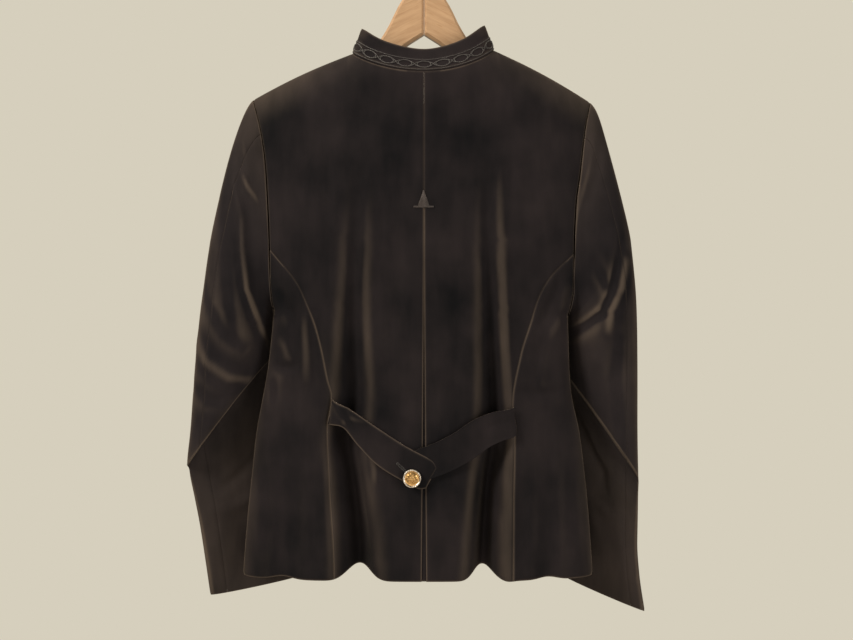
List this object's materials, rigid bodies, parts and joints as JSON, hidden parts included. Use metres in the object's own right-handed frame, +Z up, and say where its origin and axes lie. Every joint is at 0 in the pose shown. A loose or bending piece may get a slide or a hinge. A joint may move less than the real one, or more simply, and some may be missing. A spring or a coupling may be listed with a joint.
{
  "type": "velvet jacket on a wooden hanger",
  "caption": "Short fitted cotton velvet jacket with a stand collar, long two-piece sleeves and a buttoned back half belt, hung on a flat wooden hanger.",
  "frame": {"origin": "inside of the hook's crown, where the hanger rests on a rail", "axes": "+Z up, +Y out of the jacket's back, +X towards the wearer's left"},
  "size_m": [0.5722, 0.1273, 0.8524],
  "materials": {
    "velvet": "short dark brown cotton velvet pile",
    "brass": "worn brass with a silvery rim",
    "beech": "pale lacquered beech",
    "steel": "bright plated wire"
  },
  "bodies": {
    "root": {"back_left": "velvet", "back_right": "velvet", "side_back_left": "velvet", "side_back_right": "velvet", "front_left": "velvet", "front_right": "velvet", "back_pleat": "velvet", "collar": "velvet", "belt_left": "velvet", "belt_right": "velvet", "top_sleeve_left": "velvet", "under_sleeve_left": "velvet", "top_sleeve_right": "velvet", "under_sleeve_right": "velvet", "belt_button": "brass", "front_button_1": "brass", "front_button_2": "brass", "front_button_3": "brass", "front_button_4": "brass", "front_button_5": "brass", "front_button_6": "brass", "hanger_arm_left": "beech", "hanger_arm_right": "beech", "hanger_ferrule": "steel", "hanger_hook": "steel"}
  },
  "joints": []
}
